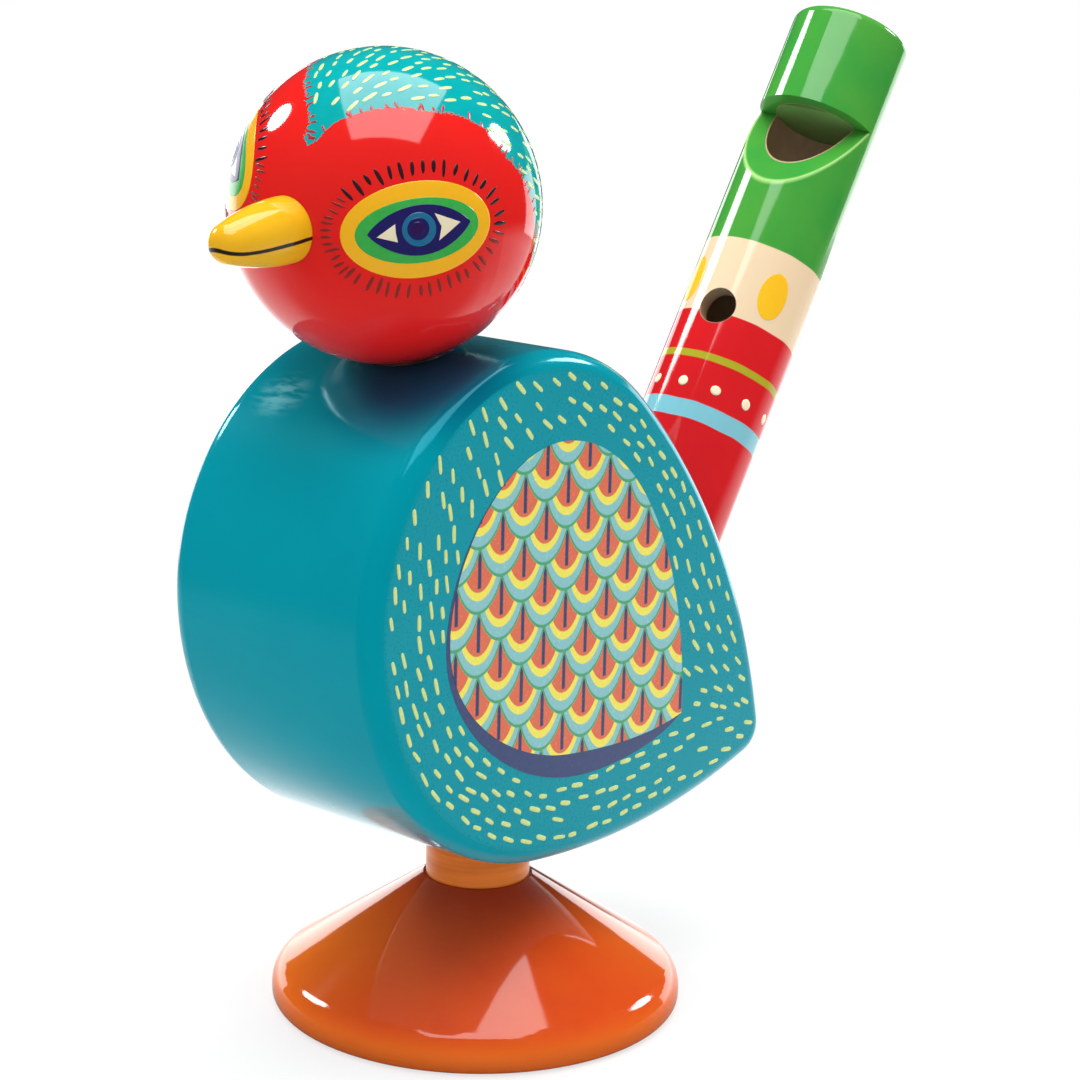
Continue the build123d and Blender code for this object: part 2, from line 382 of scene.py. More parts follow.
def marks_tree():
    """Nodes that set marks along rows; a point of a row has its normal as out and the mark's way as lie."""
    tree = bpy.data.node_groups.new("marks_along_rows", "GeometryNodeTree")
    tree.interface.new_socket("Marks", in_out="OUTPUT", socket_type="NodeSocketGeometry")
    for name, kind in (("Rows", "Geometry"), ("Mark", "Object"), ("Step", "Float"), ("Unruly", "Float"),
                       ("Shortest", "Float"), ("Longest", "Float"), ("Left Out", "Float"),
                       ("Stray", "Float"), ("Aside", "Float"), ("Seed", "Int"), ("Paint", "Material")):
        tree.interface.new_socket(name, in_out="INPUT", socket_type="NodeSocket" + kind)
    pen = Brush(tree)
    given = tree.nodes.new("NodeGroupInput")
    inputs = {socket.name: Brush(tree, socket) for socket in given.outputs if socket.name}

    def chance(low, high, turn):
        draw = {2: low, 3: high, "Seed": inputs["Seed"] + turn}
        return pen.add("FunctionNodeRandomValue", {"data_type": "FLOAT"}, draw, 1)

    curves = pen.add("GeometryNodeMeshToCurve", None, {0: inputs["Rows"]})
    spots = tree.nodes.new("GeometryNodeCurveToPoints")
    spots.mode = "LENGTH"
    tree.links.new(curves.socket, spots.inputs["Curve"])
    tree.links.new(inputs["Step"].socket, spots.inputs["Length"])
    points = Brush(tree, spots.outputs["Points"])
    tangent = Brush(tree, spots.outputs["Tangent"])
    out = pen.add("GeometryNodeInputNamedAttribute", {"data_type": "FLOAT_VECTOR"}, {"Name": "out"})
    lie = pen.add("GeometryNodeInputNamedAttribute", {"data_type": "FLOAT_VECTOR"}, {"Name": "lie"})
    dropped = chance(0.0, 1.0, 1).maths("LESS_THAN", inputs["Left Out"])
    kept = pen.add("GeometryNodeDeleteGeometry", None, {0: points, 1: dropped})
    stray = chance(-1.0, 1.0, 2) * inputs["Stray"]
    aside = chance(-1.0, 1.0, 6) * inputs["Aside"]
    on = pen.add("ShaderNodeVectorMath", {"operation": "SCALE"}, {0: tangent, "Scale": stray})
    off = pen.add("ShaderNodeVectorMath", {"operation": "SCALE"},
                  {0: out.vector("CROSS_PRODUCT", tangent), "Scale": aside})
    moved = pen.add("GeometryNodeSetPosition", None, {0: kept, "Offset": on.vector("ADD", off)})
    axes = {"Primary Axis": out, "Secondary Axis": lie}
    flat = pen.add("FunctionNodeAxesToRotation", {"primary_axis": "Z", "secondary_axis": "X"}, axes)
    lean = chance(-1.0, 1.0, 3) * inputs["Unruly"]
    turn = pen.add("FunctionNodeAxisAngleToRotation", None, {"Axis": (0, 0, 1), "Angle": lean})
    laid = pen.add("FunctionNodeRotateRotation", {"rotation_space": "LOCAL"}, {0: flat, 1: turn})
    long = chance(inputs["Shortest"], inputs["Longest"], 4)
    size = pen.add("ShaderNodeCombineXYZ", None, {"X": long, "Y": chance(0.85, 1.1, 5), "Z": 1.0})
    mark = pen.add("GeometryNodeObjectInfo", None, {"Object": inputs["Mark"]}, "Geometry")
    placed = {"Points": moved, "Instance": mark, "Rotation": laid, "Scale": size}
    many = pen.add("GeometryNodeInstanceOnPoints", None, placed)
    whole = pen.add("GeometryNodeRealizeInstances", None, {0: many})
    done = pen.add("GeometryNodeSetMaterial", None, {"Geometry": whole, "Material": inputs["Paint"]})
    pen.add("NodeGroupOutput", None, {0: done})
    return tree


mark_nodes = marks_tree()


def paint_marks(name, rows, mark, body, slot, **sizes):
    """Sets marks along rows as one piece; a row is a list of (point, out, lie) and whether it closes."""
    spots, edges = [], []
    for row, closed in rows:
        first = len(spots)
        spots += row
        edges += [(first + k, first + k + 1) for k in range(len(row) - 1)]
        if closed:
            edges.append((len(spots) - 1, first))
    mesh = bpy.data.meshes.new("rows")
    mesh.from_pydata([spot[0] for spot in spots], edges, [])
    for column, key in ((1, "out"), (2, "lie")):
        values = mesh.attributes.new(key, "FLOAT_VECTOR", "POINT")
        for item, spot in zip(values.data, spots):
            item.vector = spot[column]
    source = put_in_scene("rows", mesh)
    modifier = source.modifiers.new("marks", "NODES")
    modifier.node_group = mark_nodes
    values = {"Mark": mark, **{key.replace("_", " ").title(): value for key, value in sizes.items()}}
    for socket in mark_nodes.interface.items_tree:
        if socket.in_out == "INPUT" and socket.name in values:
            modifier[socket.identifier] = values[socket.name]
    finished = plain_mesh(source)
    bpy.data.objects.remove(mark)
    piece = put_in_scene(name, finished)
    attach(piece, body)


def reach(outline, angle):
    """How far an outline lies from the wing's middle in that direction, in the plane of the side."""
    way = Vector((math.cos(angle), math.sin(angle)))
    square = Vector((-way.y, way.x))
    found = 0.0
    for a, b in zip(outline, outline[1:] + outline[:1]):
        da, db = (a - wing_middle).dot(square), (b - wing_middle).dot(square)
        if da * db <= 0 and da != db:
            found = max(found, ((a - wing_middle).lerp(b - wing_middle, da / (da - db))).dot(way))
    return found


def ringed(points):
    """Points sorted by their direction from the wing's middle."""
    return sorted(points, key=lambda p: math.atan2(p.y - wing_middle.y, p.x - wing_middle.x))


def read_off(pairs, at):
    """The value at a place along a list of (place, value) pairs, on straight lines between them."""
    for (a, value_a), (b, value_b) in zip(pairs, pairs[1:]):
        if a <= at <= b:
            return value_a + (value_b - value_a) * (at - a) / (b - a)


side_edge = ringed({Vector((v.co.y, v.co.z)).freeze() for v in frame["nodes"]["body"].data.vertices
                    if v.co.x > side_x - 0.001 * mm})
wing_edge = ringed({Vector((v.co.x, v.co.y)).freeze() for v in flat_outline(crescent_knots, 0).vertices})
rows = []
for side in (1, -1):
    for n in range(dash_rows):
        row = []
        for turned in range(0, dash_row_sweep, 3):
            degrees = (turned + dash_row_stagger * n) % 360 - 180
            angle = math.radians(degrees)
            lie = math.radians(read_off(dash_lie, degrees))
            edge_far = reach(side_edge, angle)
            slant = reach(side_edge, angle + slant_step) - reach(side_edge, angle - slant_step)
            slant = slant / (2 * slant_step * edge_far)
            row_gap = dash_row_gap + 0.5 * dash_long * abs(math.cos(lie - angle))
            far = edge_far - (side_margin + n * row_gap) * math.hypot(1, slant)
            if far < reach(wing_edge, angle) + wing_margin:
                rows.append((row, False))
                row = []
                continue
            spot = wing_middle + far * Vector((math.cos(angle), math.sin(angle)))
            row.append(((side * side_x, spot.x, spot.y), (side, 0, 0), (0, math.cos(lie), math.sin(lie))))
        rows.append((row, False))
rows = [row for row in rows if len(row[0]) > 1]
dash_paint = enamel("dash_print", dash_green, dash_pale_green, 0.2)
dash = brush_mark(dash_long, dash_wide, dash_high, 0.6)
paint_marks("side_dashes", rows, dash, "perch", "body_lacquer",
            step=dash_step, unruly=0.14, shortest=0.72, longest=1.1, left_out=0.06, stray=0.45 * mm,
            aside=0.55 * mm, seed=4, paint=dash_paint)

# Neck dowel: a short bare beech dowel, glued into the head and standing in the breast. The head turns on
# it, and it shows only if the two are pulled apart.
beech = (0.60, 0.40, 0.22)
beech_dark = (0.45, 0.27, 0.13)


def bare_wood(name, light, dark, grain_way):
    """Unpainted wood with its pores drawn out along the grain."""
    paint, place = start_paint(name)
    stretch = [1 - 0.93 * abs(part) for part in grain_way]
    pores = place.noise(0.8 * mm, 4, stretch)
    return lay_paint(paint, place, pores.cover(dark, light), 0.5 + 0.2 * pores, pores, 0.08 * mm)


dress("neck_dowel", bare_wood("bare_beech", beech, beech_dark, (0, 0.2, 1)))

# Head: a turned ball in red gloss. The cap of teal is brushed on by hand over the crown and the whole
# back, to a hairline with a peak over the beak and a ragged edge. The painted face leans a little.
head_red = (0.72, 0.014, 0.010)
head_deep_red = (0.64, 0.009, 0.008)
crown_teal = (0.0, 0.36, 0.35)
crown_deep_teal = (0.0, 0.27, 0.30)
joints = {joint["name"]: joint for joint in frame["joints"]}
ball_middle = Vector(joints["head_turn"]["pos_m"])
ball_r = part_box("head")[1].z - ball_middle.z
face_turn = math.radians(5.5)
face_rise = math.radians(-3.6)
face_lean = math.radians(-14.1)
face_ahead = Vector((math.sin(face_turn) * math.cos(face_rise), -math.cos(face_turn) * math.cos(face_rise),
                     math.sin(face_rise)))
upright_left = Vector((math.cos(face_turn), math.sin(face_turn), 0))
upright_up = face_ahead.cross(upright_left)
face_left = upright_left * math.cos(face_lean) + upright_up * math.sin(face_lean)
face_up = upright_up * math.cos(face_lean) - upright_left * math.sin(face_lean)
# the hairline as degrees round from the beak, left positive, and degrees up from the beak's level
hairline = [(-180, -90), (-117, -90), (-113, -26), (-109, 0), (-104, 19), (-99, 30), (-92, 37), (-87, 46),
            (-75, 51), (-58, 52), (-37, 50), (-17, 44), (-8, 39), (-2.4, 31), (4, 41), (10, 46), (19, 51),
            (37, 55), (61, 55), (77, 52), (87, 46), (92, 37), (99, 30), (104, 19), (109, 0), (113, -26),
            (117, -90), (180, -90)]
ragged = 0.9

head_paint, place = start_paint("head_lacquer")
spoke = place.vector("SUBTRACT", tuple(ball_middle)).vector("NORMALIZE")
round_from_beak = spoke.along(face_left).maths("ARCTAN2", spoke.along(face_ahead)) * (180 / math.pi)
up_from_beak = spoke.along(face_up).maths("ARCSINE") * (180 / math.pi)
strokes = spoke.noise(0.045, 2) - 0.5
fine_strokes = spoke.noise(0.016, 1) - 0.5
round_ragged = round_from_beak + ragged * 3 * fine_strokes
curve_in = round_ragged / 360 + 0.5
curve_points = [(around / 360 + 0.5, up / 180 + 0.5) for around, up in hairline]
curve = place.add("ShaderNodeFloatCurve", {"points": curve_points}, {"Value": curve_in})
line = (curve - 0.5) * 180
teal_cap = (up_from_beak + ragged * (2.5 * strokes + 3.5 * fine_strokes)).past(line, 0.5)
red = place.noise(13 * mm).cover(head_deep_red, head_red)
teal = place.noise(2.2 * mm, 3, (1, 0.5, 1)).cover(crown_deep_teal, crown_teal)
dress("head", lay_paint(head_paint, place, teal_cap.cover(red, teal), 0.045 + 0.045 * place.noise(8 * mm),
                        place.noise(12 * mm, 2), 0.035 * mm))

# Eyes: painted by hand with enamels, one colour over another: a wide yellow ring, green, a navy almond, two
# cream corners, and a blue iris with a violet pupil. They slant up at their outer corners.
eye_round = math.radians(48.9)
eye_up = math.radians(11.9)
eye_slant = math.radians(13.3)
coat = 0.022 * mm
eye_yellow = enamel("eye_yellow", (0.83, 0.385, 0.005), (0.80, 0.44, 0.010))
eye_green = enamel("eye_green", (0.025, 0.33, 0.050), (0.045, 0.40, 0.070))
eye_navy = enamel("eye_navy", (0.008, 0.005, 0.085), (0.012, 0.009, 0.12))
eye_cream = enamel("eye_cream", (0.72, 0.64, 0.43), (0.78, 0.71, 0.52))
eye_blue = enamel("eye_blue", (0.006, 0.105, 0.23), (0.010, 0.15, 0.28))
eye_violet = enamel("eye_violet", (0.026, 0.003, 0.085), (0.018, 0.002, 0.060))


def eye_axes(side):
    """The middle of an eye on the ball, and the ways to its outer corner and up, as unit vectors."""
    left = face_left * side
    ahead = face_ahead * math.cos(eye_round) + left * math.sin(eye_round)
    middle = ahead * math.cos(eye_up) + face_up * math.sin(eye_up)
    level = left * math.cos(eye_round) - face_ahead * math.sin(eye_round)
    rise = face_up * math.cos(eye_up) - ahead * math.sin(eye_up)
    outer = level * math.cos(eye_slant) + rise * math.sin(eye_slant)
    return middle, outer, rise * math.cos(eye_slant) - level * math.sin(eye_slant)


def on_ball(axes, across, up):
    """The direction that many degrees across and up from the middle of an eye."""
    middle, outer, rise = axes
    far = math.radians(math.hypot(across, up))
    if far == 0:
        return middle.copy()
    way = (outer * across + rise * up).normalized()
    return middle * math.cos(far) + way * math.sin(far)


def oval(wide, high, middle=(0, 0), count=72):
    """Points of an oval with those half axes, in degrees on the ball."""
    turns = [2 * math.pi * k / count for k in range(count)]
    return [(middle[0] + wide * math.cos(t), middle[1] + high * math.sin(t)) for t in turns]


def almond(inner, outer, top, bottom, count=28):
    """Points of a lens from its inner to its outer corner along the bottom, and back along the top."""
    lens = []
    for height, order in ((bottom, range(count)), (top, range(count, 0, -1))):
        for k in order:
            across = 2 * k / count - 1
            bulge = height * (1 - across * across) ** 0.85
            lens.append(((inner + outer) / 2 + across * (outer - inner) / 2, bulge))
    return lens


def polygon(corners, count=5):
    """Points along the straight sides between those corners."""
    sides = zip(corners, corners[1:] + corners[:1])
    return [(a[0] + (b[0] - a[0]) * k / count, a[1] + (b[1] - a[1]) * k / count)
            for a, b in sides for k in range(count)]


# layers of an eye from the ball outwards: paint, outline in degrees, and how many coats up it lies
eye_layers = [(eye_yellow, oval(27.7, 17.0, (0, -0.4)), 1),
              (eye_green, oval(22.5, 11.3, (0, -0.5)), 2),
              (eye_navy, almond(-18.2, 19.2, 8.5, -9.1), 3),
              (eye_cream, polygon([(-15.0, -1.1), (-7.9, -3.5), (-8.3, -0.2), (-8.2, 2.9)]), 4),
              (eye_cream, polygon([(15.1, 0.5), (5.9, 4.9), (7.9, 0.0), (6.6, -4.7)]), 4),
              (eye_blue, oval(6.0, 5.9, (-0.1, 0.1), 48), 4),
              (eye_navy, oval(3.9, 3.9, (-0.4, 0.3), 40), 5),
              (eye_violet, oval(2.4, 2.4, (-0.5, 0.4), 32), 6)]


def painted_patches(name, layers, lay, fine, body):
    """Coats of enamel as one piece; lay gives the place of a point of an outline, that many coats up.
    Inside its outline each coat has a ring of points every fine units, which keeps it on the curve."""
    points, faces, paints = [], [], []
    mesh = bpy.data.meshes.new(name)
    for layer, (paint, outline, coats) in enumerate(layers):
        middle = [sum(p[k] for p in outline) / len(outline) for k in (0, 1)]
        size = max(math.dist(p, middle) for p in outline)
        first, count = len(points), len(outline)
        inside = math.ceil(size / fine)
        rings = [(n / inside, coats) for n in range(1, inside)]
        rings += [(1 - 0.2 * fine / size, coats), (1, coats - 0.4), (1, -1)]
        points.append(lay(middle, coats))
        for share, level in rings:
            for p in outline:
                points.append(lay([middle[k] + share * (p[k] - middle[k]) for k in (0, 1)], level))
        for k in range(count):
            after = (k + 1) % count
            faces.append((first, first + 1 + k, first + 1 + after))
            for n in range(len(rings) - 1):
                near = first + 1 + n * count
                faces.append((near + k, near + count + k, near + count + after, near + after))
            paints += [layer] * len(rings)
        mesh.materials.append(paint)
    mesh.from_pydata(points, [], faces)
    mesh.polygons.foreach_set("material_index", paints)
    mesh.shade_smooth()
    piece = put_in_scene(name, mesh)
    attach(piece, body)
    return piece


for tag, side in (("left", 1), ("right", -1)):
    axes = eye_axes(side)
    eye = painted_patches(f"eye_{tag}", eye_layers,
                          lambda p, level: ball_middle + on_ball(axes, *p) * (ball_r + level * coat),
                          2.2, "head")
    if side < 0:
        eye.data.flip_normals()

# Lashes: short tapered brush strokes that stand out from the yellow ring all the way round it, black above
# the eye, thinner and brown below it, and finest and closest towards the beak.
lash_long = 2.1 * mm
lash_high = 0.05 * mm
lash_step = 1.45 * mm
# half axes of the ovals that the lashes stand on and point to, and their middle, in degrees on the ball
lash_oval = (32.5, 21.8)
lash_outer_oval = (33.5, 23.0)
lash_up = -0.4
lash_black = enamel("lash_black", (0.012, 0.004, 0.008), (0.030, 0.006, 0.012))
lash_brown = enamel("lash_brown", (0.18, 0.016, 0.012), (0.26, 0.018, 0.014))


def lash_row(side, start, stop):
    """Points along an oval round an eye between two angles from its outer corner."""
    axes = eye_axes(side)
    row = []
    for degrees in range(start, stop + 1, 2):
        t = math.radians(degrees)
        way, beyond = (on_ball(axes, wide * math.cos(t), lash_up + high * math.sin(t))
                       for wide, high in (lash_oval, lash_outer_oval))
        row.append((ball_middle + way * ball_r, way, (beyond - way).normalized()))
    return row, False


paint_marks("lashes_above", [lash_row(side, -8, 136) for side in (1, -1)],
            brush_mark(lash_long, 0.52 * mm, lash_high, 1.0, 1 / ball_r), "head", "head_lacquer",
            step=lash_step, unruly=0.14, shortest=0.75, longest=1.25, left_out=0.0, stray=0.18 * mm,
            aside=0.15 * mm, seed=2, paint=lash_black)
paint_marks("lashes_by_beak", [lash_row(side, 142, 212) for side in (1, -1)],
            brush_mark(0.8 * lash_long, 0.36 * mm, lash_high, 1.0, 1 / ball_r), "head", "head_lacquer",
            step=0.6 * lash_step, unruly=0.2, shortest=0.7, longest=1.3, left_out=0.0, stray=0.15 * mm,
            aside=0.25 * mm, seed=11, paint=lash_brown)
paint_marks("lashes_below", [lash_row(side, 218, 344) for side in (1, -1)],
            brush_mark(lash_long, 0.46 * mm, lash_high, 1.0, 1 / ball_r), "head", "head_lacquer",
            step=0.9 * lash_step, unruly=0.14, shortest=0.75, longest=1.25, left_out=0.0, stray=0.18 * mm,
            aside=0.15 * mm, seed=7, paint=lash_brown)

# Dashes on the cap: the same pale marks as on the sides, combed back from the forehead and down the back.
# Along the hairline short ticks of the red stand up into the teal.
comb_rise = math.radians(28.4)
crown_step = 1.95 * mm
crown_rows = range(22, 170, 7)
crown_long, crown_wide, crown_high = 2.3 * mm, 0.58 * mm, 0.035 * mm
# degrees that the dashes keep above the hairline, and the lowest that they reach at the back
cap_margin, cap_lowest = 5, -62
tick_long, tick_wide, tick_high = 1.4 * mm, 0.36 * mm, 0.03 * mm
# degrees that the ticks run round to each side of the beak
tick_sweep = 112


def from_face(around, up):
    """The direction from the ball's middle that many degrees round from the beak and up from its level."""
    t, r = math.radians(around), math.radians(up)
    return (face_ahead * math.cos(t) + face_left * math.sin(t)) * math.cos(r) + face_up * math.sin(r)


def on_cap(way):
    around = math.degrees(math.atan2(way.dot(face_left), way.dot(face_ahead)))
    up = math.degrees(math.asin(way.dot(face_up)))
    return up > read_off(hairline, around) + cap_margin and up > cap_lowest


comb = face_ahead * math.cos(comb_rise) + face_up * math.sin(comb_rise)
comb_axes = comb, face_left, comb.cross(face_left)
rows = []
for far in crown_rows:
    row = []
    for degrees in range(-180, 184, 4):
        t = math.radians(degrees)
        way = on_ball(comb_axes, far * math.cos(t), far * math.sin(t))
        if on_cap(way):
            row.append((ball_middle + way * ball_r, way, (comb - way * comb.dot(way)).normalized()))
        elif row:
            rows.append((row, False))
            row = []
    if row:
        rows.append((row, False))
rows = [row for row in rows if len(row[0]) > 1]
crown_dash_paint = enamel("crown_dash", (0.48, 0.66, 0.26), (0.60, 0.73, 0.36))
dash = brush_mark(crown_long, crown_wide, crown_high, 0.85, 1 / ball_r)
paint_marks("crown_dashes", rows, dash, "head", "head_lacquer",
            step=crown_step, unruly=0.16, shortest=0.6, longest=1.05, left_out=0.05, stray=0.4 * mm,
            aside=0.4 * mm, seed=9, paint=crown_dash_paint)

ticks = []
for half_degrees in range(-2 * tick_sweep, 2 * tick_sweep + 1):
    around = half_degrees / 2
    before, way, after = (from_face(at, read_off(hairline, at))
                          for at in (around - 0.25, around, around + 0.25))
    lie = way.cross(after - before).normalized()
    ticks.append((ball_middle + (way * ball_r + lie * 0.35 * tick_long).normalized() * ball_r, way, lie))
tick_red = enamel("tick_red", (0.55, 0.012, 0.020), (0.38, 0.014, 0.045))
tick = brush_mark(tick_long, tick_wide, tick_high, 1.0, 1 / ball_r)
paint_marks("hairline_ticks", [(ticks, False)], tick, "head", "head_lacquer",
            step=1.3 * mm, unruly=0.35, shortest=0.45, longest=1.2, left_out=0.25, stray=0.6 * mm,
            aside=0.2 * mm, seed=3, paint=tick_red)

# Beak: a turned peg with a blunt round nose, glued into the ball and sprayed yellow. One thin black line of
# enamel runs round it as the mouth, low on its sides and rising over the nose.
beak_yellow = (0.80, 0.45, 0.014)
beak_deep_yellow = (0.75, 0.385, 0.010)
mouth_black = (0.014, 0.008, 0.006)
mouth_wide = 0.50 * mm
# the mouth as mm out from the ball's middle along the beak and mm above the beak's axis
mouth = [(20.0, -0.66), (22.6, -0.79), (24.1, -0.88), (26.1, -1.0), (27.8, -1.11), (29.6, -1.14),
         (31.2, -1.1), (32.75, -0.92), (33.6, -0.68), (34.2, -0.36)]
mouth_from, mouth_to = mouth[0][0] * mm, mouth[-1][0] * mm
# the curve's whole height stands for this many mm, with the beak's axis at its middle
mouth_span = 4
beak_paint, place = start_paint("beak_lacquer")
from_middle = place.vector("SUBTRACT", tuple(ball_middle))
out_along = (from_middle.along(face_ahead) - mouth_from) / (mouth_to - mouth_from)
mouth_points = [((out * mm - mouth_from) / (mouth_to - mouth_from), up / mouth_span + 0.5)
                for out, up in mouth]
curve = place.add("ShaderNodeFloatCurve", {"points": mouth_points}, {"Value": out_along})
mouth_line = (curve - 0.5) * mouth_span * mm
off_line = abs(from_middle.along(upright_up) - mouth_line + 0.2 * mm * (place.noise(3 * mm) - 0.5))
on_mouth = 1 - off_line.past(mouth_wide / 2, 0.12 * mm)
yellow = place.noise(5 * mm).cover(beak_deep_yellow, beak_yellow)
beak_gloss = 0.06 + 0.06 * place.noise(4 * mm)
dress("beak", lay_paint(beak_paint, place, on_mouth.cover(yellow, mouth_black), beak_gloss,
                        place.noise(7 * mm, 2), 0.04 * mm))

# Whistle: a turned and bored wooden tube that is the tail, with a notch under its mouth end and one finger
# hole. It is sprayed in bands: green to below the notch, cream round the hole, red below that with an olive
# line and a pale blue band. A painted highlight runs pale along the ramp's edge; the bore and the hole are
# bare wood.
band_green = (0.016, 0.27, 0.042)
band_leaf_green = (0.085, 0.34, 0.038)
ramp_edge_painted_highlight = (0.42, 0.70, 0.24)
band_cream = (0.80, 0.60, 0.39)
band_red = (0.68, 0.011, 0.015)
band_deep_red = (0.59, 0.007, 0.011)
band_olive = (0.40, 0.36, 0.020)
band_blue = (0.21, 0.50, 0.58)
bore_brown = (0.50, 0.34, 0.20)
bore_dark = (0.36, 0.22, 0.13)
whistle_way = Vector(joints["whistle_pull"]["axis"]).normalized()
whistle_front = Vector((0, -whistle_way.z, whistle_way.y))
whistle_left = Vector((1, 0, 0))
tube_points = [v.co.copy() for v in frame["nodes"]["whistle_tube"].data.vertices]
tube_foot_level = min(p.dot(whistle_way) for p in tube_points)
foot_rim = [p for p in tube_points if p.dot(whistle_way) < tube_foot_level + 0.01 * mm]
tube_foot = whistle_way * tube_foot_level
for way in (whistle_front, whistle_left):
    tube_foot += way * (min(p.dot(way) for p in foot_rim) + max(p.dot(way) for p in foot_rim)) / 2
tube_r = (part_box("whistle_tube")[1].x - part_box("whistle_tube")[0].x) / 2
bore_r = 6.8 * mm
# heights above the tube's foot
green_from = 69.9 * mm
cream_from = 57.4 * mm
olive_middle, olive_wide = 50.1 * mm, 1.15 * mm
blue_middle, blue_wide = 41.2 * mm, 2.9 * mm
ramp_foot, ramp_top = 80.0 * mm, 94.8 * mm
ramp_deep = 8.6 * mm
ramp_lean = math.atan2(ramp_deep, ramp_top - ramp_foot)
hole_at = 58.4 * mm
hole_r = 2.9 * mm
window_turn = math.radians(11.5)
hole_way = whistle_front * math.cos(window_turn) + whistle_left * math.sin(window_turn)
ramp_way = hole_way * math.cos(ramp_lean) + whistle_way * math.sin(ramp_lean)

whistle_paint, place = start_paint("whistle_lacquer")
from_foot = place.vector("SUBTRACT", tuple(tube_foot))
height = from_foot.along(whistle_way)
hand = 0.5 * mm * (place.noise(6 * mm, 1) - 0.5)
at = height + hand
from_axis = from_foot.vector("CROSS_PRODUCT", tuple(whistle_way)).vector("LENGTH", take="Value")
from_hole = place.vector("SUBTRACT", tuple(tube_foot + whistle_way * hole_at)) \
    .vector("CROSS_PRODUCT", tuple(hole_way)).vector("LENGTH", take="Value")
edge = 0.16 * mm
clouds = place.noise(9 * mm, 3)
colour = clouds.cover(band_deep_red, band_red)
colour = (1 - abs(at - blue_middle).past(blue_wide / 2, edge)).cover(colour, band_blue)
colour = (1 - abs(at - olive_middle).past(olive_wide / 2, edge)).cover(colour, band_olive)
colour = at.past(cream_from, edge).cover(colour, band_cream)
colour = at.past(green_from, edge).cover(colour, clouds.cover(band_green, band_leaf_green))
# painted highlight: a pale line along the ramp's edge, where its rounding would catch the light
off_ramp = abs(from_foot.along(ramp_way) - tube_r * math.cos(ramp_lean) - ramp_foot * math.sin(ramp_lean))
painted_edge_highlight = (1 - off_ramp.past(0.2 * mm, 0.35 * mm)) * from_axis.past(tube_r - 0.25 * mm, 0.3 * mm)
painted_edge_highlight = painted_edge_highlight * (1 - height.past(ramp_top - 0.3 * mm, 0.4 * mm))
colour = (0.75 * painted_edge_highlight).cover(colour, ramp_edge_painted_highlight)
in_bore = 1 - from_axis.past(bore_r + 0.15 * mm, 0.1 * mm)
in_hole = (1 - from_hole.past(hole_r + 0.06 * mm, 0.08 * mm)) * height.past(hole_at - 4 * mm, 0.1 * mm)
in_front = from_foot.along(hole_way).past(0.0, 0.1 * mm)
bare = in_bore.maths("MAXIMUM", in_hole * in_front)
pores = place.noise(0.9 * mm, 4, (1, 0.5, 0.3))
colour = bare.cover(colour, pores.cover(bore_dark, bore_brown))
dress("whistle_tube", lay_paint(whistle_paint, place, colour, 0.05 + 0.05 * clouds + 0.5 * bare,
                                place.noise(9 * mm, 2) + 0.6 * bare * pores, 0.04 * mm))

# Marks on the whistle: four yellow drops round the cream band, with the finger hole between two of them,
# and ten cream dots between the olive line and the blue band. All are touched on with a brush.
drop_yellow = enamel("drop_yellow", (0.88, 0.45, 0.006), (0.90, 0.51, 0.014))
dot_cream = enamel("dot_cream", (0.90, 0.72, 0.46), (0.93, 0.80, 0.60))
drop_middle = 62.7 * mm
drop_high, drop_wide = 7.7 * mm, 4.7 * mm
drop_count = 4
drop_round = 57.9
dot_at = 45.4 * mm
dot_count = 10
dot_round = 7
dot_wide = 1.6 * mm
dot_high = 0.07 * mm


def on_tube(round_front, up, level=0.0):
    """A point on the tube, its normal and the way up; round_front is in degrees to the bird's left."""
    t = math.radians(round_front)
    out = whistle_front * math.cos(t) + whistle_left * math.sin(t)
    return tube_foot + whistle_way * up + out * (tube_r + level), out, whistle_way


def lay_on_tube(p, level):
    return on_tube(math.degrees(p[0] / tube_r * mm), p[1] * mm, level * coat)[0]


drops = []
for n in range(drop_count):
    around = math.radians(drop_round + n * 360 / drop_count) * tube_r / mm
    outline = oval(drop_wide / 2 / mm, drop_high / 2 / mm, (around, drop_middle / mm), 40)
    drops.append((drop_yellow, outline, 1.5))
painted_patches("whistle_drops", drops, lay_on_tube, 0.4, "whistle").data.flip_normals()

ring = [on_tube(dot_round + degrees, dot_at) for degrees in range(0, 360, 4)]
dot = brush_mark(dot_wide, dot_wide, dot_high, 1.0)
# a step just under a tenth of the way round, so that the last dot is not lost
dot_step = 0.999 * 2 * math.pi * tube_r / dot_count
paint_marks("whistle_dots", [(ring, True)], dot, "whistle", "whistle_lacquer",
            step=dot_step, unruly=0.4, shortest=0.95, longest=1.1, left_out=0.0, stray=0.1 * mm,
            aside=0.1 * mm, seed=5, paint=dot_cream)

# Fipple block: the plug in the mouth end that leaves a flat windway over it. It is bare wood stained by the
# green of the tube, which has run on to its end in the notch and covers its end at the mouth.
block_green = (0.17, 0.48, 0.10)
block_brown = (0.22, 0.32, 0.11)
block_green_from = 109 * mm
block_paint, place = start_paint("block_wood")
pores = place.noise(1.2 * mm, 4, (1, 0.4, 0.3))
at_mouth = place.vector("SUBTRACT", tuple(tube_foot)).along(whistle_way).past(block_green_from, 2 * mm)
stained = at_mouth.cover(pores.cover(block_brown, block_green), band_green)
dress("fipple_block", lay_paint(block_paint, place, stained, 0.35 + 0.2 * pores, pores, 0.06 * mm))

